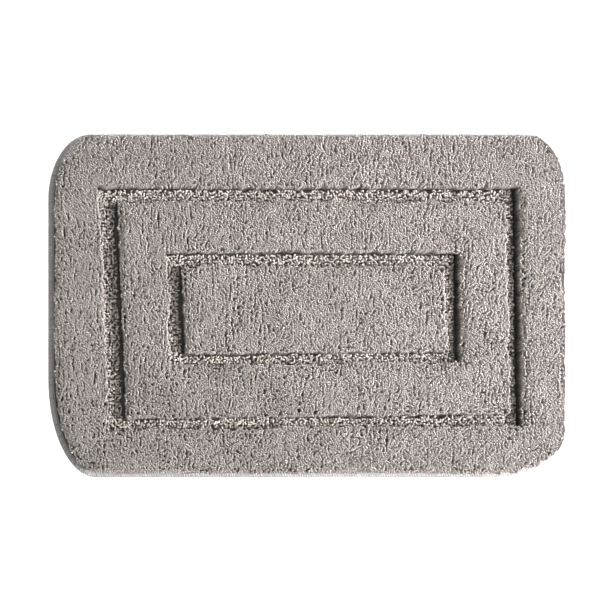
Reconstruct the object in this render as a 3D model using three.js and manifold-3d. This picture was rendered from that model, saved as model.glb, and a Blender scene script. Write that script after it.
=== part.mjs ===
// A tufted bath mat: a stack of backing layers with rings of cut pile and low loops on top, and an
// overlocked edge. Millimetres, +Z up. The origin is on the floor under the middle of the mat, +X runs
// along its length and +Y across its width.
import * as THREE from "three";
import { mergeVertices } from "three/addons/utils/BufferGeometryUtils.js";
import Module from "manifold-3d";

const wasm = await Module();
wasm.setup();

// Driving dimensions.
const LENGTH = 600;
const WIDTH = 400;
const GAP = 0.3; // clearance between touching pieces

// The cut corners differ a little from each other: each is a quarter ellipse, rx along X and ry along Y.
const CORNERS = {
  rightTop: { rx: 45, ry: 72 },
  leftTop: { rx: 50, ry: 76 },
  leftBottom: { rx: 57, ry: 115 },
  rightBottom: { rx: 80, ry: 58 },
};
const CORNER_SEGMENTS = 10;
const BEVEL_SEGMENTS = 2;
const SAME_POINT = 1e-3; // corners nearer than this are one

// Layers, from the floor up.
const GRIP_THICKNESS = 1.5;
const PRECOAT_THICKNESS = 0.8;
const CLOTH_THICKNESS = 0.7;
const LOOP_HEIGHT = 8;
const CUT_PILE_HEIGHT = 20;

const PRECOAT_BOTTOM = GRIP_THICKNESS + GAP;
const PRECOAT_TOP = PRECOAT_BOTTOM + PRECOAT_THICKNESS;
const CLOTH_BOTTOM = PRECOAT_TOP + GAP;
const CLOTH_TOP = CLOTH_BOTTOM + CLOTH_THICKNESS;
const YARN_BOTTOM = CLOTH_TOP + GAP;

// The overlocked edge.
const THREAD = 0.9; // thickness of one layer of wound thread, above and below the cloth
const EDGE_THREAD = 1.3; // thickness of the threads on the outer face of the edge
const BAND = 6.2; // width of the wound band
const NEEDLE_ROW = 1; // width of the row of needle stitches
const BAND_ROUNDING = 0.6;
const NEEDLE_INSET = BAND + GAP;
const PILE_INSET = NEEDLE_INSET + NEEDLE_ROW + GAP;

// The two channels. Each side has its centre line's place, a skew (how far the line moves in X for each
// step in +Y on the left and right, or in Y for each step in +X at the top and bottom) and a width.
const OUTER_CHANNEL = {
  left: { at: -228.3, skew: -0.041, width: 22 },
  right: { at: 232.1, skew: -0.016, width: 17.5 },
  top: { at: 124.9, skew: 0, width: 19 },
  bottom: { at: -135.9, skew: 0.012, width: 15 },
};
const INNER_CHANNEL = {
  left: { at: -155.7, skew: -0.037, width: 19 },
  right: { at: 161.9, skew: -0.01, width: 19 },
  top: { at: 50.8, skew: 0, width: 19 },
  bottom: { at: -62.7, skew: 0.009, width: 15 },
};

// --- solids ---------------------------------------------------------------------------------------

function toSolid(geometry) {
  const bare = geometry.clone();
  bare.deleteAttribute("normal");
  bare.deleteAttribute("uv");
  const merged = mergeVertices(bare, SAME_POINT);
  const mesh = new wasm.Mesh({
    numProp: 3,
    vertProperties: merged.attributes.position.array,
    triVerts: new Uint32Array(merged.index.array),
  });
  return new wasm.Manifold(mesh);
}

function toGeometry(solid) {
  const mesh = solid.getMesh();
  const geometry = new THREE.BufferGeometry();
  geometry.setAttribute("position", new THREE.BufferAttribute(mesh.vertProperties, mesh.numProp));
  geometry.setIndex(new THREE.BufferAttribute(mesh.triVerts, 1));
  return geometry;
}

// A flat layer between two heights. A rounded one has a bevel on its edges and keeps its outline.
function layer(shape, bottom, top, rounding = 0) {
  const geometry = new THREE.ExtrudeGeometry(shape, {
    depth: top - bottom - 2 * rounding,
    curveSegments: CORNER_SEGMENTS,
    bevelEnabled: rounding > 0,
    bevelThickness: rounding,
    bevelSize: rounding,
    bevelOffset: -rounding,
    bevelSegments: BEVEL_SEGMENTS,
  });
  return geometry.translate(0, 0, bottom + rounding);
}

// --- outlines -------------------------------------------------------------------------------------

// The mat's outline, moved in from the bound edge by an inset.
function matOutline(inset = 0) {
  const { rightTop, leftTop, leftBottom, rightBottom } = CORNERS;
  const x = LENGTH / 2 - inset;
  const y = WIDTH / 2 - inset;
  const outline = new THREE.Shape();
  const quarter = ({ rx, ry }, sideX, sideY, start) => {
    const a = rx - inset;
    const b = ry - inset;
    outline.absellipse(sideX * (x - a), sideY * (y - b), a, b, start, start + Math.PI / 2, false, 0);
  };
  outline.moveTo(x, y - (rightTop.ry - inset));
  quarter(rightTop, 1, 1, 0);
  quarter(leftTop, -1, 1, Math.PI / 2);
  quarter(leftBottom, -1, -1, Math.PI);
  quarter(rightBottom, 1, -1, 1.5 * Math.PI);
  outline.closePath();
  return outline;
}

// The slightly skewed rectangle along a channel's outer side (way 1) or its inner side (way -1), with a
// clearance between it and the channel.
function channelOutline({ left, right, top, bottom }, way, clearance = 0) {
  const moved = (side, outward) => side.at + outward * way * (side.width / 2 + clearance);
  const corner = (upright, outwardX, level, outwardY) => {
    const x = moved(upright, outwardX);
    const y = (moved(level, outwardY) + level.skew * x) / (1 - level.skew * upright.skew);
    return new THREE.Vector2(x + upright.skew * y, y);
  };
  return new THREE.Shape([
    corner(left, -1, bottom, -1),
    corner(right, 1, bottom, -1),
    corner(right, 1, top, 1),
    corner(left, -1, top, 1),
  ]);
}

function withHole(shape, hole) {
  shape.holes.push(hole);
  return shape;
}

// --- pieces ---------------------------------------------------------------------------------------

const mat = new THREE.Group();

function add(name, geometry, { color, roughness }) {
  const material = new THREE.MeshStandardMaterial({ color, roughness, metalness: 0 });
  const mesh = new THREE.Mesh(geometry, material);
  mesh.name = name;
  mat.add(mesh);
}

const YARN = { color: 0xa59e99, roughness: 0.95 };
const LOOP_YARN = { color: 0xaba49e, roughness: 0.95 };
const SEAM_THREAD = { color: 0x9d9993, roughness: 0.8 };
const CLOTH = { color: 0xcfcac2, roughness: 0.9 };
const LATEX = { color: 0xdcd8cc, roughness: 0.6 };
const GRIP_RUBBER = { color: 0xb9b6b0, roughness: 0.55 };

function addBackings() {
  const insideEdge = EDGE_THREAD + GAP;
  add("grip_backing", layer(matOutline(PILE_INSET), 0, GRIP_THICKNESS), GRIP_RUBBER);
  add("latex_precoat", layer(matOutline(insideEdge), PRECOAT_BOTTOM, PRECOAT_TOP), LATEX);
  add("primary_backing_cloth", layer(matOutline(insideEdge), CLOTH_BOTTOM, CLOTH_TOP), CLOTH);
}

// The upper and lower loopers each wrap half of the edge and meet halfway up its outer face.
function addOverlock() {
  const halfway = (PRECOAT_BOTTOM + CLOTH_TOP) / 2;
  const window = matOutline(BAND);
  const core = toSolid(layer(matOutline(EDGE_THREAD), PRECOAT_BOTTOM - GAP, YARN_BOTTOM));
  const wound = (bottom, top) => {
    const band = toSolid(layer(matOutline(), bottom, top, BAND_ROUNDING));
    const middle = toSolid(layer(window, bottom - GAP, top + GAP));
    return band.subtract(middle).subtract(core);
  };
  const lowerBottom = PRECOAT_BOTTOM - GAP - THREAD;
  const upperTop = YARN_BOTTOM + THREAD;
  add("overlock_lower_looper", toGeometry(wound(lowerBottom, halfway - GAP / 2)), SEAM_THREAD);
  add("overlock_upper_looper", toGeometry(wound(halfway + GAP / 2, upperTop)), SEAM_THREAD);

  const row = withHole(matOutline(NEEDLE_INSET), matOutline(NEEDLE_INSET + NEEDLE_ROW));
  add("overlock_needle_thread", layer(row, YARN_BOTTOM, upperTop), SEAM_THREAD);
}

// Cut pile and loops stand on the cloth: each region is a ring inside the one before it.
function addYarn() {
  const cutTop = YARN_BOTTOM + CUT_PILE_HEIGHT;
  const loopTop = YARN_BOTTOM + LOOP_HEIGHT;

  const border = withHole(matOutline(PILE_INSET), channelOutline(OUTER_CHANNEL, 1, GAP));
  add("border_pile", layer(border, YARN_BOTTOM, cutTop), YARN);

  const band = withHole(channelOutline(OUTER_CHANNEL, -1, GAP), channelOutline(INNER_CHANNEL, 1, GAP));
  add("middle_band_pile", layer(band, YARN_BOTTOM, cutTop), YARN);
  add("centre_panel_pile", layer(channelOutline(INNER_CHANNEL, -1, GAP), YARN_BOTTOM, cutTop), YARN);

  const loops = (channel) => withHole(channelOutline(channel, 1), channelOutline(channel, -1));
  add("outer_channel_loops", layer(loops(OUTER_CHANNEL), YARN_BOTTOM, loopTop), LOOP_YARN);
  add("inner_channel_loops", layer(loops(INNER_CHANNEL), YARN_BOTTOM, loopTop), LOOP_YARN);
}

addBackings();
addOverlock();
addYarn();

export default mat;
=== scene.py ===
"""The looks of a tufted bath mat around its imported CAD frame: every tuft of cut pile, every low loop in
the two channels, the overlock stitches round the edge, and the backing layers underneath. Metres."""

import math
from typing import NamedTuple

import bpy
import numpy as np
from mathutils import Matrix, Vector


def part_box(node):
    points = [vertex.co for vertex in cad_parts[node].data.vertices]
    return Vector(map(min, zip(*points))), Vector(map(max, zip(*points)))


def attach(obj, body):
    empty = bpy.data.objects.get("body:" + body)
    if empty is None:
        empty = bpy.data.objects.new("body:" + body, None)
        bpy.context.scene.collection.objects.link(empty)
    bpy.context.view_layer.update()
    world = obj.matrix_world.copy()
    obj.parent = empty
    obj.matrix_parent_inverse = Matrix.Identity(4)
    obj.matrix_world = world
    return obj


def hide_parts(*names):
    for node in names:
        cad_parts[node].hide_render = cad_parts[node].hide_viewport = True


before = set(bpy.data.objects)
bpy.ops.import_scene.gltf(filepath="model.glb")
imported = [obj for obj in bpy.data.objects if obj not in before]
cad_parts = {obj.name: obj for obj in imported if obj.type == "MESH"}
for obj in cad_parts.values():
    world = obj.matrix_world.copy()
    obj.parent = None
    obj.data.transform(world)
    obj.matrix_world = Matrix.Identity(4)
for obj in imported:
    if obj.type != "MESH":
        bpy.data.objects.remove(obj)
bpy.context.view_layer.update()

MM = 0.001
RANDOM_SEED = 11
TOP_TOLERANCE = 0.05 * MM  # a CAD node's faces within this of its highest point are its top
MICROMETRE_DIGITS = 6
TINY = 1e-9  # the least length that anything is divided by
SUNK = 0.2 * MM  # how far the yarn stands into the gap over the cloth, so that no light shows under it
CAP_BULGE = 0.4  # how far a tube's closed ends bulge, as a share of its depth


class Wander(NamedTuple):
    """A slow change over the mat: its size, its wavelength and the seed of its waves."""

    size: float
    wavelength: float
    seed: int


WAVE_COUNT = 9
WAVE_SPREAD = (0.6, 1.7)  # the shortest and longest wave, as a share of a wander's wavelength
ROW_WAVE_SPREAD = (0.5, 1.5)
YARN_SPREAD = (0.85, 1.15)  # the thinnest and thickest yarn, as a share of its radius

# Cut pile: rows of strands run across the mat, along Y.
ROW_PITCH = 2.5 * MM
STRAND_STEP = 1.75 * MM
STRAND_RADIUS = 1.1 * MM
STRAND_SIDES = 5
STRAND_RINGS = np.array([0, 0.45, 0.78, 0.97])  # how far up a strand they are, as a share of its height
STRAND_FLARE = np.array([0.7, 0.85, 1.0, 1.12])  # its radius at each ring
ROOT_SCATTER = (0.18 * ROW_PITCH, 0.22 * STRAND_STEP)
EDGE_INSET = 1.0 * MM  # how far the strands along an edge stand inside it
LEAST_INSET = 0.8 * EDGE_INSET  # how near another edge they may come
EDGE_STEP = 0.85 * STRAND_STEP
EDGE_SCATTER = 0.2 * MM
ROW_CLEARANCE = EDGE_INSET + 0.45 * ROW_PITCH  # the strands in rows keep this far inside an edge
MOST_ROWS = 1000  # more rows than there are on either side of the mat's middle

# How the strands lean. Their windward side is the one that they lean away from.
LEAN = (7.0 * MM, 0.4 * MM)  # how far the strands lean, mostly in their lower half
LEAN_NOISE = 0.4 * MM
ROW_LEAN = Wander(0.4 * MM, 60 * MM, 26)
TIP_SWEEP = (-0.2 * MM, 3.2 * MM)  # how far their tips are brushed over on top of that
SWEEP_NOISE = 0.6 * MM
SWIRL = [Wander(1.0 * MM, 60 * MM, 21), Wander(1.0 * MM, 60 * MM, 22)]  # of the tips along X and Y
RIPPLE = [Wander(0.35 * MM, 16 * MM, 23), Wander(0.35 * MM, 16 * MM, 24)]
SIDE_SPLAY = 1.0 * MM  # how much further the strands at a region's side lean out over it
SIDE_WAVE = Wander(1.2 * MM, 13 * MM, 29)  # how the line of their tips wanders
SIDE_FALL = 4 * MM  # how far inside the region this is down to about a third
EDGE_SPLAY = 3.2 * MM  # how much further the strands at the windward bound edge lean out
EDGE_FALL = 9 * MM
TRIM_INSET = 2.4 * MM  # how far inside the cloth's edge the tips stop
TRIM_WAVE = Wander(0.8 * MM, 12 * MM, 31)
TRIM_NOISE = 0.25 * MM
DROOP_RATIO = 8.8  # a tip sinks by its reach squared, over this and the pile's height

# How high the strands are. Those at a region's windward side are lower.
HEIGHT_WAVE = Wander(0.12 * MM, 50 * MM, 25)
ROW_HEIGHT = Wander(0.15 * MM, 80 * MM, 27)
HEIGHT_NOISE = 0.25 * MM
ROUNDING = 4 * MM
ROUNDING_FALL = 3.5 * MM

ROW_TONE = Wander(0.14, 100 * MM, 28)
TONE_NOISE = 0.15

# Low loops.
LOOP_PITCH = 3.0 * MM
LOOP_SCATTER = 0.28  # as a share of the pitch
LOOP_CLEARANCE = 1.3 * MM  # how far inside the channel their middles stand
LOOP_RADIUS = 1.0 * MM
LOOP_SIDES = 5
LOOP_RINGS = 7
LOOP_SPAN = 2.6 * MM
LOOP_SPAN_SPREAD = (0.8, 1.2)
LOOP_SWAY = 0.5 * MM
LOOP_LEAN = 0.1  # as a share of the cut strands' lean
LOOP_HEIGHTS = (0.65, 1.08)  # the lowest and highest loop, as a share of the channel's pile height
LOOP_ARCH = 0.7  # the power of a cosine. Below 1 it makes a fuller arch.
LOOP_TONE_NOISE = 0.25

# Overlock stitches.
STITCH_PITCH = 2.8 * MM
WOUND_BAND = 6.2 * MM  # how far the wound threads reach in from the mat's outline
WRAP_HALF_WIDTH = 0.52  # as a share of the stitch pitch
WRAP_HALF_DEPTH = 0.5 * MM
WRAP_SIDES = 8
WRAP_WOBBLE = 0.05  # of a stitch along the edge
WRAP_SPREAD = (0.96, 1.04)
WRAP_TAPER = (0.94, 0.84)  # a wrap's size at its inner end and at the outer face of the edge
WRAP_ENDS = 0.7  # how much smaller its last ring is at both ends
WRAP_TONE_NOISE = 0.2
SMOOTH_REACH = 3  # the stitches on either side that smooth the direction of the edge
MEETING_SLANT = 0.32  # how far along, in stitches, an upper wrap meets its lower one
NEEDLE_THREAD_RADIUS = 0.42 * MM
NEEDLE_THREAD_SIDES = 6
NEEDLE_STITCH_RINGS = 6
NEEDLE_STITCH_LENGTH = 1.1  # as a share of the stitch pitch
NEEDLE_STITCH_LOW = 0.35 * MM  # how high a stitch's ends are
NEEDLE_STITCH_ARCH = 0.3 * MM
NEEDLE_TONES = (0.3, 0.7)

# Backing layers and the domes of the grip coating.
OUTLINE_STEP = 4 * MM
LAYER_SOFTNESS = 0.25  # how much of a layer's thickness its edge is rounded by
DOT_PITCH = 8 * MM
DOT_RADIUS = 1.7 * MM
DOT_HEIGHT = 0.8 * MM
DOT_SIDES = 8
DOT_RINGS = np.array([0, 0.45, 0.85])  # how far down a dome they are, as a share of its height
DOT_TAPER = np.array([1.0, 0.86, 0.5])  # its radius at each ring
DOT_CLEARANCE = 1.5 * DOT_RADIUS
DOT_SUNK = 0.1 * MM  # how far the domes start inside the coating

# Floor, light and camera.
FLOOR_SIZE = 8
FLOOR_GREY = 0.86
FLOOR_GLOW = 1.0
WORLD_GLOW = 0.3
CAMERA_HEIGHT = 1.23
VIEW_WIDTH = 0.7135  # what the picture spans at the height of the bound edge


# --- regions of the CAD model -----------------------------------------------------------------------


class Region:
    """The plan of a CAD node: its top face's boundary, holes included, as segments of start and end. The
    node lies on the left of each segment, so an outline runs anticlockwise and a hole clockwise."""

    def __init__(self, node):
        self.low, self.high = (np.array(corner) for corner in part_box(node))
        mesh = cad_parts[node].data
        points = np.empty(len(mesh.vertices) * 3)
        mesh.vertices.foreach_get("co", points)
        points = np.round(points.reshape(-1, 3), MICROMETRE_DIGITS)
        uses = {}
        for face in mesh.polygons:
            corners = [tuple(points[v]) for v in face.vertices]
            if min(corner[2] for corner in corners) < self.high[2] - TOP_TOLERANCE:
                continue
            for start, end in zip(corners, corners[1:] + corners[:1]):
                if (end, start) in uses:
                    del uses[(end, start)]
                else:
                    uses[(start, end)] = True
        segments = np.array([[start[:2], end[:2]] for start, end in uses])
        self.starts = segments[:, 0]
        self.ends = segments[:, 1]

    def contains(self, points):
        """Which of the points lie inside, by how many boundary segments a line to the right crosses."""
        x, y = points[:, None, 0], points[:, None, 1]
        (ax, ay), (bx, by) = self.starts.T, self.ends.T
        spans = (ay > y) != (by > y)
        crossing = ax + (y - ay) * (bx - ax) / np.where(by == ay, 1, by - ay)
        return (spans & (x < crossing)).sum(axis=1) % 2 == 1

    def to_edge(self, points):
        """Each point's distance to the boundary, and the direction in which the nearest edge lies."""
        along = self.ends - self.starts
        share = ((points[:, None] - self.starts) * along).sum(axis=2) / (along**2).sum(axis=1)
        nearest = self.starts + np.clip(share, 0, 1)[..., None] * along
        away = nearest - points[:, None]
        distance = np.linalg.norm(away, axis=2)
        pick = distance.argmin(axis=1)
        rows = np.arange(len(points))
        shortest = distance[rows, pick]
        return shortest, away[rows, pick] / np.maximum(shortest, TINY)[:, None]

    def chains(self):
        """The boundary as closed chains of points, the longest one first."""
        following = {tuple(a): tuple(b) for a, b in zip(self.starts, self.ends)}
        found = []
        while following:
            start, point = next(iter(following.items()))
            del following[start]
            chain = [start]
            while point != start:
                chain.append(point)
                point = following.pop(point)
            found.append(np.array(chain))
        return sorted(found, key=lambda chain: -segment_lengths(chain).sum())


def segment_lengths(chain):
    """The lengths of a closed chain's segments, from its first point round to it again."""
    closed = np.vstack([chain, chain[:1]])
    return np.linalg.norm(np.diff(closed, axis=0), axis=1)


def evenly_spaced(chain, pitch):
    """Points along a closed chain, about a pitch apart, with the direction out of its region at each."""
    closed = np.vstack([chain, chain[:1]])
    reached = np.concatenate([[0], np.cumsum(segment_lengths(chain))])
    count = round(reached[-1] / pitch)
    at = (np.arange(count) + 0.5) * reached[-1] / count
    points = np.stack([np.interp(at, reached, closed[:, k]) for k in range(2)], axis=1)
    along = np.roll(points, -1, axis=0) - np.roll(points, 1, axis=0)
    along /= np.linalg.norm(along, axis=1)[:, None]
    return points, np.stack([along[:, 1], -along[:, 0]], axis=1)


def drift(points, wander):
    """A wander's value at each point of the plan, as a sum of plane waves in all directions."""
    source = np.random.default_rng(wander.seed)
    total = np.zeros(len(points))
    for _ in range(WAVE_COUNT):
        angle = source.uniform(0, 2 * np.pi)
        length = wander.wavelength * source.uniform(*WAVE_SPREAD)
        travel = points[:, 0] * np.cos(angle) + points[:, 1] * np.sin(angle)
        total += np.sin(2 * np.pi * travel / length + source.uniform(0, 2 * np.pi))
    return wander.size * (total / math.sqrt(WAVE_COUNT))


def row_drift(row, y, wander):
    """A wander's value at each strand, where it differs from row to row and changes along each row."""
    source = np.random.default_rng(wander.seed)
    rows = (2 * MOST_ROWS, 2)
    phases = source.uniform(0, 2 * np.pi, rows)[row + MOST_ROWS]
    lengths = wander.wavelength * source.uniform(*ROW_WAVE_SPREAD, rows)[row + MOST_ROWS]
    return wander.size * np.sin(2 * np.pi * y[:, None] / lengths + phases).sum(axis=1)


# --- mesh code --------------------------------------------------------------------------------------


def make_object(name, points, faces):
    """A smooth-shaded object from points and a list of face arrays, each (count, corners)."""
    mesh = bpy.data.meshes.new(name)
    mesh.vertices.add(len(points))
    mesh.vertices.foreach_set("co", np.asarray(points, np.float32).ravel())
    corners = np.concatenate([f.ravel() for f in faces]).astype(np.int32)
    sizes = np.concatenate([np.full(len(f), f.shape[1], np.int32) for f in faces])
    mesh.loops.add(len(corners))
    mesh.loops.foreach_set("vertex_index", corners)
    mesh.polygons.add(len(sizes))
    starts = np.concatenate([[0], np.cumsum(sizes)[:-1]])
    mesh.polygons.foreach_set("loop_start", starts.astype(np.int32))
    mesh.update(calc_edges=True)
    mesh.shade_smooth()
    thing = bpy.data.objects.new(name, mesh)
    bpy.context.scene.collection.objects.link(thing)
    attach(thing, "root")
    return thing


def add_values(thing, name, values):
    """One number for each vertex, which a material reads by name."""
    attribute = thing.data.attributes.new(name, "FLOAT", "POINT")
    attribute.data.foreach_set("value", np.asarray(values, np.float32))


def add_tubes(name, paths, across, widths, depths, sides, tones, low=0.0, high=1.0):
    """One object of many closed tubes. paths is (tubes, rings, 3). across is a direction for each tube
    that its path never follows; widths are half sizes along it, and depths half sizes at right angles.
    Its points know their tube's tone, and their height as a share of the way from low to high."""
    count, rings = paths.shape[:2]
    tangent = np.gradient(paths, axis=1)
    tangent /= np.linalg.norm(tangent, axis=2, keepdims=True)
    side = across[:, None] - (across[:, None] * tangent).sum(axis=2, keepdims=True) * tangent
    side /= np.linalg.norm(side, axis=2, keepdims=True)
    other = np.cross(tangent, side)
    angle = np.arange(sides) * 2 * np.pi / sides
    around = (
        np.cos(angle)[:, None] * (side * widths[..., None])[:, :, None]
        + np.sin(angle)[:, None] * (other * depths[..., None])[:, :, None]
    )
    skin = (paths[:, :, None] + around).reshape(count, rings * sides, 3)
    ends = np.stack(
        [
            paths[:, 0] - CAP_BULGE * tangent[:, 0] * depths[:, :1],
            paths[:, -1] + CAP_BULGE * tangent[:, -1] * depths[:, -1:],
        ],
        axis=1,
    )
    points = np.concatenate([skin, ends], axis=1)

    step = np.arange(sides)
    following = (step + 1) % sides
    ring = np.arange(rings - 1)[:, None] * sides
    here = (ring + step).ravel()
    beside = (ring + following).ravel()
    quads = np.stack([here, beside, beside + sides, here + sides], axis=1)
    last = (rings - 1) * sides
    first_end = np.full(sides, rings * sides)
    first_cap = np.stack([following, step, first_end], axis=1)
    last_cap = np.stack([last + step, last + following, first_end + 1], axis=1)
    caps = np.concatenate([first_cap, last_cap])
    shift = np.arange(count)[:, None, None] * (rings * sides + 2)
    faces = [(quads + shift).reshape(-1, 4), (caps + shift).reshape(-1, 3)]
    thing = make_object(name, points.reshape(-1, 3), faces)

    add_values(thing, "height", ((points[..., 2] - low) / (high - low)).ravel())
    add_values(thing, "tone", np.repeat(tones, rings * sides + 2))
    return thing


# --- materials --------------------------------------------------------------------------------------


class Material:
    """A Principled material with short calls for the nodes that feed it."""

    def __init__(self, name, roughness, sheen=0.0, specular=0.5):
        self.material = bpy.data.materials.new(name)
        self.material.use_nodes = True
        self.tree = self.material.node_tree
        self.shader = self.tree.nodes["Principled BSDF"]
        self.shader.inputs["Roughness"].default_value = roughness
        self.shader.inputs["Sheen Weight"].default_value = sheen
        self.shader.inputs["Sheen Roughness"].default_value = 0.5
        self.shader.inputs["Specular IOR Level"].default_value = specular

    def link(self, value, socket):
        if isinstance(value, bpy.types.NodeSocket):
            self.tree.links.new(value, socket)
        else:
            socket.default_value = value

    def place(self):
        return self.tree.nodes.new("ShaderNodeTexCoord").outputs["Object"]

    def value(self, name):
        node = self.tree.nodes.new("ShaderNodeAttribute")
        node.attribute_name = name
        return node.outputs["Fac"]

    def noise(self, scale, detail=2.0):
        node = self.tree.nodes.new("ShaderNodeTexNoise")
        node.inputs["Scale"].default_value = scale
        node.inputs["Detail"].default_value = detail
        self.link(self.place(), node.inputs["Vector"])
        return node.outputs["Fac"]

    def maths(self, operation, *values):
        node = self.tree.nodes.new("ShaderNodeMath")
        node.operation = operation
        for value, socket in zip(values, node.inputs):
            self.link(value, socket)
        return node.outputs[0]

    def blend(self, *parts):
        """The sum of values, each given with its weight."""
        first, *others = [self.maths("MULTIPLY", value, weight) for value, weight in parts]
        total = first
        for other in others:
            total = self.maths("ADD", total, other)
        return total

    def ramp(self, value, stops):
        """Colours by value. Each stop is a place from 0 to 1 and a linear colour."""
        node = self.tree.nodes.new("ShaderNodeValToRGB")
        elements = node.color_ramp.elements
        while len(elements) < len(stops):
            elements.new(0.5)
        for element, (place, colour) in zip(elements, stops):
            element.position = place
            element.color = (*colour, 1)
        self.link(value, node.inputs["Fac"])
        return node.outputs["Color"]

    def mix(self, kind, share, a, b):
        node = self.tree.nodes.new("ShaderNodeMix")
        node.data_type = "RGBA"
        node.blend_type = kind
        self.link(share, node.inputs["Factor"])
        self.link(a, node.inputs[6])
        self.link(b, node.inputs[7])
        return node.outputs[2]

    def colour(self, value):
        self.link(value, self.shader.inputs["Base Color"])

    def bump(self, height, strength, distance):
        node = self.tree.nodes.new("ShaderNodeBump")
        node.inputs["Strength"].default_value = strength
        node.inputs["Distance"].default_value = distance
        self.link(height, node.inputs["Height"])
        self.link(node.outputs["Normal"], self.shader.inputs["Normal"])


def grey(level, warmth=1.0):
    """A linear grey, as warm as the yarn's or by another share of that. It is neutral at 0."""
    return (level * (1 + 0.1 * warmth), level, level * (1 - 0.06 * warmth))


def cut_pile_material():
    made = Material("cut_pile_yarn", roughness=0.9, sheen=0.1, specular=0.2)
    made.shader.inputs["Subsurface Weight"].default_value = 1.0
    made.shader.inputs["Subsurface Radius"].default_value = (1.0, 1.0, 1.0)
    made.shader.inputs["Subsurface Scale"].default_value = 2.4 * MM
    fibres = made.noise(scale=1300, detail=3.0)
    patches = made.noise(scale=16)
    shade = made.blend((made.value("tone"), 0.34), (fibres, 0.4), (patches, 0.26))
    yarn = made.ramp(shade, [(0.25, grey(0.36)), (0.5, grey(0.43)), (0.75, grey(0.5))])
    # Painted shade: the yarn is darkened towards its roots by height, as the shade deep down in the pile.
    shadow = [(0.0, grey(0.03, 0)), (0.2, grey(0.17, 0)), (0.45, grey(0.62, 0)), (0.72, grey(1.0, 0))]
    painted_root_shade = made.ramp(made.value("height"), shadow)
    made.colour(made.mix("MULTIPLY", 1.0, yarn, painted_root_shade))
    made.bump(fibres, strength=0.6, distance=0.4 * MM)
    return made.material


def loop_material():
    made = Material("loop_yarn", roughness=0.85, sheen=0.2, specular=0.3)
    fibres = made.noise(scale=1100, detail=3.0)
    shade = made.blend((made.value("tone"), 0.5), (fibres, 0.5))
    # Painted light: the loop yarn is coloured paler than the cut pile's yarn, to make up for the shade down
    # in the channels.
    yarn = made.ramp(shade, [(0.1, grey(0.58)), (0.5, grey(0.79)), (0.9, grey(0.93))])
    # Painted shade: the loops are darkened towards their feet by height, as the shade on the channel's
    # floor.
    shadow = [(0.0, grey(0.06, 0)), (0.5, grey(0.4, 0)), (0.85, grey(1.0, 0))]
    painted_root_shade = made.ramp(made.value("height"), shadow)
    made.colour(made.mix("MULTIPLY", 1.0, yarn, painted_root_shade))
    made.bump(fibres, strength=0.6, distance=0.4 * MM)
    return made.material


def seam_material():
    made = Material("seam_thread", roughness=0.7, sheen=0.15, specular=0.35)
    fibres = made.noise(scale=1500, detail=3.0)
    shade = made.blend((made.value("tone"), 0.4), (fibres, 0.6))
    stops = [(0.1, grey(0.5, 0.5)), (0.5, grey(0.62, 0.5)), (0.9, grey(0.74, 0.5))]
    made.colour(made.ramp(shade, stops))
    made.bump(fibres, strength=0.5, distance=0.3 * MM)
    return made.material


def weave_height(made, pitch):
    """A plain weave's height from 0 to 1: two sets of waves at right angles, each over and under the
    other."""
    place = made.tree.nodes.new("ShaderNodeSeparateXYZ")
    made.link(made.place(), place.inputs[0])
    turn = 2 * math.pi / pitch
    warp = made.maths("SINE", made.maths("MULTIPLY", place.outputs["X"], turn))
    weft = made.maths("SINE", made.maths("MULTIPLY", place.outputs["Y"], turn))
    return made.maths("MULTIPLY_ADD", made.maths("MULTIPLY", warp, weft), 0.5, 0.5)


def cloth_material():
    made = Material("backing_cloth", roughness=0.9, sheen=0.1, specular=0.3)
    weave = weave_height(made, pitch=2.4 * MM)
    fibres = made.noise(scale=900)
    shade = made.blend((weave, 0.6), (fibres, 0.4))
    # Painted shade: the cloth is coloured darker than a plain backing cloth, as the shade where it shows
    # deep between the strands.
    made.colour(made.ramp(shade, [(0.1, grey(0.1)), (0.5, grey(0.2)), (0.9, grey(0.3))]))
    made.bump(weave, strength=0.8, distance=0.4 * MM)
    return made.material


def latex_material():
    made = Material("latex", roughness=0.6, specular=0.4)
    lumps = made.noise(scale=260, detail=3.0)
    made.colour(made.ramp(lumps, [(0.2, grey(0.52, 1.4)), (0.8, grey(0.68, 1.4))]))
    made.bump(lumps, strength=0.4, distance=0.5 * MM)
    return made.material


def grip_material():
    made = Material("grip_rubber", roughness=0.55, specular=0.4)
    grain = made.noise(scale=700, detail=4.0)
    clouds = made.noise(scale=22)
    shade = made.blend((grain, 0.65), (clouds, 0.35))
    made.colour(made.ramp(shade, [(0.25, grey(0.38, 0.4)), (0.75, grey(0.52, 0.4))]))
    made.bump(grain, strength=0.35, distance=0.25 * MM)
    return made.material


def floor_material():
    made = Material("floor", roughness=0.8, specular=0.2)
    made.colour((*grey(FLOOR_GREY, 0), 1))
    made.shader.inputs["Emission Color"].default_value = (1, 1, 1, 1)
    made.shader.inputs["Emission Strength"].default_value = FLOOR_GLOW
    return made.material


# --- cut pile ---------------------------------------------------------------------------------------


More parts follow.
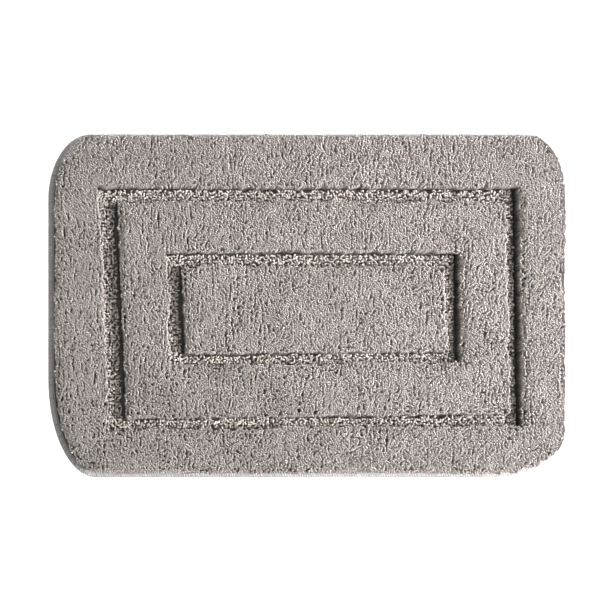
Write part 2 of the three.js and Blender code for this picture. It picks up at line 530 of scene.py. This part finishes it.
def strand_places(region, source):
    """Roots of the strands and the row that each belongs to. There are rows across the region, and a line
    of strands along each of its edges."""
    rows = np.arange(round(region.low[0] / ROW_PITCH), round(region.high[0] / ROW_PITCH) + 1)
    steps = np.arange(region.low[1], region.high[1], STRAND_STEP)
    row, y = np.meshgrid(rows, steps, indexing="ij")
    y = y + source.uniform(0, STRAND_STEP, len(rows))[:, None]
    grid = np.stack([row.ravel() * ROW_PITCH, y.ravel()], axis=1)
    grid = grid + source.normal(0, 1, grid.shape) * ROOT_SCATTER
    inside = region.contains(grid)
    grid, row = grid[inside], row.ravel()[inside]
    clear = region.to_edge(grid)[0] > ROW_CLEARANCE
    grid, row = grid[clear], row[clear]

    edges = []
    for chain in region.chains():
        points, outward = evenly_spaced(chain, EDGE_STEP)
        moved = points - EDGE_INSET * outward
        distance = region.to_edge(moved)[0]
        edges.append(moved[region.contains(moved) & (distance > LEAST_INSET)])
    edge = np.concatenate(edges)
    edge = edge + source.normal(0, EDGE_SCATTER, edge.shape)
    edge_row = np.round(edge[:, 0] / ROW_PITCH).astype(int)
    return np.concatenate([grid, edge]), np.concatenate([row, edge_row])


def windward(directions):
    """How squarely each direction points against the lean of the strands, from 0 to 1."""
    return 0.5 - 0.5 * (directions @ LEAN) / np.linalg.norm(LEAN)


def strand_leans(cloth, roots, row, distance, nearest, source):
    """How far each strand leans, and how far its tip is brushed over on top of that. distance and nearest
    say how far off the side of the strands' region is, and in which direction."""
    splay = (SIDE_SPLAY + drift(roots, SIDE_WAVE)) * np.exp(-distance / SIDE_FALL)
    swirl = np.stack([drift(roots, wander) for wander in SWIRL], axis=1)
    ripple = np.stack([drift(roots, wander) for wander in RIPPLE], axis=1)
    lean = np.array(LEAN) + nearest * splay[:, None]
    lean[:, 0] += row_drift(row, roots[:, 1], ROW_LEAN)
    lean = lean + source.normal(0, LEAN_NOISE, lean.shape)
    sweep = np.array(TIP_SWEEP) + swirl + ripple
    sweep = sweep + source.normal(0, SWEEP_NOISE, lean.shape)

    bound, outward = cloth.to_edge(roots)
    push = EDGE_SPLAY * windward(outward) ** 2 * np.exp(-bound / EDGE_FALL)
    lean = lean + outward * push[:, None]
    overhang = ((lean + sweep) * outward).sum(axis=1)
    spare = bound - TRIM_INSET + drift(roots, TRIM_WAVE) + source.normal(0, TRIM_NOISE, len(roots))
    lean = lean - outward * np.maximum(overhang - spare, 0)[:, None]
    return lean, sweep


def strand_heights(pile_height, roots, row, distance, nearest, source):
    rounding = ROUNDING * windward(nearest) * np.exp(-distance / ROUNDING_FALL)
    tall = pile_height + drift(roots, HEIGHT_WAVE) - rounding
    tall = tall + source.normal(0, HEIGHT_NOISE, len(roots))
    return tall + row_drift(row, roots[:, 1], ROW_HEIGHT)


def strand_paths(low, pile_height, roots, lean, sweep, tall):
    """The strands' middle lines. The lean is mostly in their lower half and the sweep at their tips, and a
    strand that reaches further out sinks a little."""
    bend = 1 - (1 - STRAND_RINGS) ** 2
    plan = roots[:, None] + lean[:, None] * bend[:, None] + sweep[:, None] * (STRAND_RINGS**4)[:, None]
    droop = ((lean + sweep) ** 2).sum(axis=1) / (DROOP_RATIO * pile_height)
    rise = low - SUNK + tall[:, None] * STRAND_RINGS - droop[:, None] * bend
    return np.concatenate([plan, rise[..., None]], axis=2)


def add_pile(name, region, cloth, roots, row, source):
    """The strands at the given roots, as one object."""
    count = len(roots)
    low, high = region.low[2], region.high[2]
    distance, nearest = region.to_edge(roots)
    lean, sweep = strand_leans(cloth, roots, row, distance, nearest, source)
    tall = strand_heights(high - low, roots, row, distance, nearest, source)
    paths = strand_paths(low, high - low, roots, lean, sweep, tall)
    thickness = STRAND_RADIUS * source.uniform(*YARN_SPREAD, count)
    widths = thickness[:, None] * STRAND_FLARE
    facing = source.uniform(0, 2 * np.pi, count)
    across = np.stack([np.cos(facing), np.sin(facing), np.zeros(count)], axis=1)
    tones = 0.5 + row_drift(row, roots[:, 1], ROW_TONE) + source.normal(0, TONE_NOISE, count)
    tones = np.clip(tones, 0, 1)
    return add_tubes(name, paths, across, widths, widths, STRAND_SIDES, tones, low, high)


def sides_of(points, low, high):
    """Splits points into the strips round a box: left and right take the corners, and the top and bottom
    strips have two halves each."""
    left = points[:, 0] < low[0]
    right = points[:, 0] > high[0]
    between = ~left & ~right
    top = points[:, 1] > (low[1] + high[1]) / 2
    near_left = points[:, 0] < (low[0] + high[0]) / 2
    return {
        "left": left,
        "right": right,
        "top_left": between & top & near_left,
        "top_right": between & top & ~near_left,
        "bottom_left": between & ~top & near_left,
        "bottom_right": between & ~top & ~near_left,
    }


def add_all_pile(material):
    source = np.random.default_rng(RANDOM_SEED)
    cloth = Region("primary_backing_cloth")
    made = []
    for node, inner in [
        ("border_pile", "outer_channel_loops"),
        ("middle_band_pile", "inner_channel_loops"),
        ("centre_panel_pile", None),
    ]:
        region = Region(node)
        roots, row = strand_places(region, source)
        if inner:
            low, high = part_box(inner)
            parts = sides_of(roots, low, high)
        else:
            left = roots[:, 0] < (region.low[0] + region.high[0]) / 2
            parts = {"left": left, "right": ~left}
        for side, chosen in parts.items():
            pile = add_pile(f"{node}_{side}", region, cloth, roots[chosen], row[chosen], source)
            pile.data.materials.append(material)
            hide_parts(node)
            made.append(pile)
    return made


# --- low loops --------------------------------------------------------------------------------------


def loop_places(region, source):
    """Roots of the loops, scattered from a square grid."""
    axes = [np.arange(region.low[k], region.high[k], LOOP_PITCH) for k in range(2)]
    x, y = np.meshgrid(*axes, indexing="ij")
    grid = np.stack([x.ravel(), y.ravel()], axis=1)
    grid = grid + source.uniform(-LOOP_SCATTER, LOOP_SCATTER, grid.shape) * LOOP_PITCH
    roots = grid[region.contains(grid)]
    return roots[region.to_edge(roots)[0] > LOOP_CLEARANCE]


def add_loops(node, material, seed):
    """The low loops of a channel, as one object: arches that face all ways."""
    source = np.random.default_rng(seed)
    region = Region(node)
    roots = loop_places(region, source)
    count = len(roots)

    turn = source.uniform(0, np.pi, count)
    facing = np.stack([np.cos(turn), np.sin(turn)], axis=1)
    arc = np.linspace(-0.5, 0.5, LOOP_RINGS)
    span = LOOP_SPAN * source.uniform(*LOOP_SPAN_SPREAD, count)
    sway = source.normal(0, LOOP_SWAY, (count, 2)) + LOOP_LEAN * np.array(LEAN)
    arch = np.cos(np.pi * arc) ** LOOP_ARCH
    plan = (
        roots[:, None]
        + facing[:, None] * (span[:, None] * 0.5 * np.sin(np.pi * arc))[..., None]
        + sway[:, None] * arch[:, None]
    )
    low, high = region.low[2], region.high[2]
    tall = (high - low - LOOP_RADIUS) * source.uniform(*LOOP_HEIGHTS, count)
    rise = low - SUNK + tall[:, None] * arch
    paths = np.concatenate([plan, rise[..., None]], axis=2)
    across = np.stack([-facing[:, 1], facing[:, 0], np.zeros(count)], axis=1)
    thick = LOOP_RADIUS * source.uniform(*YARN_SPREAD, count)[:, None] * np.ones(LOOP_RINGS)
    tones = np.clip(source.normal(0.5, LOOP_TONE_NOISE, count), 0, 1)
    loops = add_tubes(node + "_yarn", paths, across, thick, thick, LOOP_SIDES, tones, low, high)
    loops.data.materials.append(material)
    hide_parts(node)
    return loops


# --- overlocked edge --------------------------------------------------------------------------------


def edge_frames(shift=0.0):
    """A place for each stitch on the cloth's outline, moved outwards by a shift, with the outward direction
    and the one along the edge. The directions are smoothed over the stitches on either side."""
    chain = Region("primary_backing_cloth").chains()[0]
    points, outward = evenly_spaced(chain, STITCH_PITCH)
    smooth = sum(np.roll(outward, k, axis=0) for k in range(-SMOOTH_REACH, SMOOTH_REACH + 1))
    outward = smooth / np.linalg.norm(smooth, axis=1)[:, None]
    along = np.stack([-outward[:, 1], outward[:, 0]], axis=1)
    return points + shift * outward, outward, along


def add_wraps(name, node, section, material, seed):
    """Threads wound over the edge. section is the path's places: distance out from the cloth's edge,
    height, and how far it has moved along the edge, in stitches."""
    source = np.random.default_rng(seed)
    points, outward, along = edge_frames()
    count = len(points)
    out, up, slant = (np.array(values) for values in zip(*section))
    wobble = source.normal(0, WRAP_WOBBLE, count)
    plan = (
        points[:, None]
        + outward[:, None] * out[:, None]
        + along[:, None] * ((slant + wobble[:, None]) * STITCH_PITCH)[..., None]
    )
    rise = np.broadcast_to(up, (count, len(up)))
    paths = np.concatenate([plan, rise[..., None]], axis=2)
    across = np.concatenate([along, np.zeros((count, 1))], axis=1)
    size = source.uniform(*WRAP_SPREAD, count)[:, None] * np.linspace(*WRAP_TAPER, len(up))
    size[:, [0, -1]] *= WRAP_ENDS
    tones = np.clip(source.normal(0.5, WRAP_TONE_NOISE, count), 0, 1)
    half_widths = size * WRAP_HALF_WIDTH * STITCH_PITCH
    wraps = add_tubes(name, paths, across, half_widths, size * WRAP_HALF_DEPTH, WRAP_SIDES, tones)
    wraps.data.materials.append(material)
    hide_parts(node)
    return wraps


def add_needle_row(material):
    """Straight stitches along the inner side of the wound band."""
    node = "overlock_needle_thread"
    low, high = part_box(node)
    cloth_low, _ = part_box("primary_backing_cloth")
    inset = low[0] - cloth_low[0] + (high[2] - low[2]) / 2
    points, outward, along = edge_frames(-inset)
    count, rings = len(points), NEEDLE_STITCH_RINGS
    share = np.linspace(-0.5, 0.5, rings)
    plan = points[:, None] + along[:, None] * (share * NEEDLE_STITCH_LENGTH * STITCH_PITCH)[:, None]
    rise = low[2] + NEEDLE_STITCH_LOW + NEEDLE_STITCH_ARCH * np.cos(np.pi * share)
    paths = np.concatenate([plan, np.broadcast_to(rise, (count, rings))[..., None]], axis=2)
    across = np.concatenate([outward, np.zeros((count, 1))], axis=1)
    size = NEEDLE_THREAD_RADIUS * np.ones((count, rings))
    tones = np.random.default_rng(RANDOM_SEED + 5).uniform(*NEEDLE_TONES, count)
    sides = NEEDLE_THREAD_SIDES
    stitches = add_tubes("overlock_needle_stitches", paths, across, size, size, sides, tones)
    stitches.data.materials.append(material)
    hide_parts(node)
    return stitches


def add_overlock(material):
    """The seam's three threads. An upper wrap comes over the band and down to half of the edge's height,
    and a lower wrap is the same path turned over, from there to the underside."""
    upper_low, upper_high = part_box("overlock_upper_looper")
    lower_low, lower_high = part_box("overlock_lower_looper")
    cloth_low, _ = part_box("primary_backing_cloth")
    edge = cloth_low[0] - upper_low[0]
    band = WOUND_BAND - edge
    outer = edge - WRAP_HALF_DEPTH
    top = upper_high[2] - WRAP_HALF_DEPTH
    bottom = lower_low[2] + WRAP_HALF_DEPTH
    halfway = (upper_low[2] + lower_high[2]) / 2
    upper = [
        (-band, top - 0.4 * MM, -0.5),
        (-band + 1.4 * MM, top, -0.32),
        (-0.55 * band, top + 0.1 * MM, -0.15),
        (-0.2 * band, top + 0.05 * MM, 0.02),
        (0.45 * outer, top - 0.2 * MM, 0.16),
        (outer, halfway + 0.55 * (top - halfway), 0.26),
        (outer, halfway, MEETING_SLANT),
    ]
    lower = [
        (out, max(top + bottom - up, bottom), 2 * MEETING_SLANT - slant) for out, up, slant in upper
    ]
    return [
        add_wraps("overlock_upper_thread", "overlock_upper_looper", upper, material, RANDOM_SEED + 3),
        add_wraps("overlock_lower_thread", "overlock_lower_looper", lower, material, RANDOM_SEED + 4),
        add_needle_row(material),
    ]


# --- backing layers ---------------------------------------------------------------------------------


def add_layer(name, node, material, raised=0.0):
    """A flat layer with the CAD node's outline and top, and with softened edges. A raised one's underside is
    higher than the node's."""
    region = Region(node)
    low, high = region.low[2] + raised, region.high[2]
    points, outward = evenly_spaced(region.chains()[0], OUTLINE_STEP)
    count = len(points)
    soft = LAYER_SOFTNESS * (high - low)
    section = [(soft, low), (0, low + soft), (0, high - soft), (soft, high)]
    rings = []
    for inset, height in section:
        rings.append(np.column_stack([points - outward * inset, np.full(count, height)]))
    here = np.arange(count)
    beside = (here + 1) % count
    wall = np.stack([here, beside, beside + count, here + count], axis=1)
    walls = [wall + k * count for k in range(len(section) - 1)]
    underside = here[::-1]
    top = here + (len(section) - 1) * count
    thing = make_object(name, np.concatenate(rings), [*walls, underside[None], top[None]])
    for face in thing.data.polygons:
        face.use_smooth = len(face.vertices) == 4
    thing.data.materials.append(material)
    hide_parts(node)
    return thing


def add_grip_dots(material):
    """Small domes on the underside of the grip coating, in offset rows. They stand on the floor."""
    region = Region("grip_backing")
    rows = np.arange(region.low[1], region.high[1], DOT_PITCH * math.sin(math.pi / 3))
    columns = np.arange(region.low[0], region.high[0], DOT_PITCH)
    x, y = np.meshgrid(columns, rows)
    x = x + 0.5 * DOT_PITCH * (np.arange(len(rows)) % 2)[:, None]
    centres = np.stack([x.ravel(), y.ravel()], axis=1)
    centres = centres[region.contains(centres)]
    centres = centres[region.to_edge(centres)[0] > DOT_CLEARANCE]
    count = len(centres)
    base = region.low[2] + DOT_HEIGHT + DOT_SUNK
    paths = np.empty((count, len(DOT_RINGS), 3))
    paths[:, :, :2] = centres[:, None]
    paths[:, :, 2] = base - (DOT_HEIGHT + DOT_SUNK) * DOT_RINGS
    across = np.tile([1.0, 0.0, 0.0], (count, 1))
    size = DOT_RADIUS * np.tile(DOT_TAPER, (count, 1))
    dots = add_tubes("grip_dots", paths, across, size, size, DOT_SIDES, np.zeros(count))

    points = np.empty(len(dots.data.vertices) * 3)
    dots.data.vertices.foreach_get("co", points)
    points[2::3] = np.clip(points[2::3], region.low[2], base)  # flat, on the floor and in the coating
    dots.data.vertices.foreach_set("co", points)
    dots.data.materials.append(material)
    return dots


# --- the mat ----------------------------------------------------------------------------------------


def flat_area(node):
    outline = Region(node).chains()[0]
    return abs(float(np.cross(outline, np.roll(outline, -1, axis=0)).sum())) / 2


def build_mat():
    pile = add_all_pile(cut_pile_material())
    loop_yarn = loop_material()
    loops = [
        add_loops("outer_channel_loops", loop_yarn, RANDOM_SEED + 1),
        add_loops("inner_channel_loops", loop_yarn, RANDOM_SEED + 2),
    ]
    overlock = add_overlock(seam_material())

    cloth_node, grip_node = "primary_backing_cloth", "grip_backing"
    cloth = add_layer("backing_cloth", cloth_node, cloth_material())
    add_layer("latex_coat", "latex_precoat", latex_material())
    grip_look = grip_material()
    grip = add_layer("grip_sheet", grip_node, grip_look, raised=DOT_HEIGHT)
    dots = add_grip_dots(grip_look)

    flat_area(cloth_node)
    flat_area(grip_node)


# --- floor, light and camera ------------------------------------------------------------------------


def add_floor():
    bpy.ops.mesh.primitive_plane_add(size=FLOOR_SIZE)
    floor = bpy.context.active_object
    floor.name = "floor"
    floor.data.materials.append(floor_material())


def add_light(name, place, size, power, spread=180, aim=(0, 0, 0)):
    """A square area light, turned towards a point. A smaller spread, in degrees, narrows its beam."""
    data = bpy.data.lights.new(name, "AREA")
    data.spread = math.radians(spread)
    data.size = size
    data.energy = power
    light = bpy.data.objects.new(name, data)
    bpy.context.scene.collection.objects.link(light)
    light.location = place
    light.rotation_mode = "QUATERNION"
    light.rotation_quaternion = (Vector(aim) - Vector(place)).to_track_quat("-Z", "Y")


def add_lights():
    """Most of the light comes from the right, low enough to leave the right channels in the shade."""
    add_light("key", place=(1.7, -0.15, 1.15), size=0.8, power=2.75, spread=30, aim=(0.1, 0, 0))
    add_light("low_key", place=(1.35, -0.12, 0.6), size=0.6, power=23)
    add_light("top", place=(-0.35, 0.1, 1.2), size=0.6, power=0.3, spread=80, aim=(-0.2, 0.05, 0))


def add_camera():
    """A camera straight above the mat's middle."""
    data = bpy.data.cameras.new("camera")
    camera = bpy.data.objects.new("camera", data)
    bpy.context.scene.collection.objects.link(camera)
    camera.location = (0, 0, CAMERA_HEIGHT)
    data.lens = data.sensor_width * CAMERA_HEIGHT / VIEW_WIDTH
    bpy.context.scene.camera = camera


def add_world():
    world = bpy.data.worlds.new("studio")
    bpy.context.scene.world = world
    world.use_nodes = True
    back = world.node_tree.nodes["Background"]
    back.inputs["Color"].default_value = (1, 1, 1, 1)
    back.inputs["Strength"].default_value = WORLD_GLOW


add_camera()
build_mat()
add_floor()
add_lights()
add_world()
bpy.context.scene.view_settings.view_transform = "Standard"
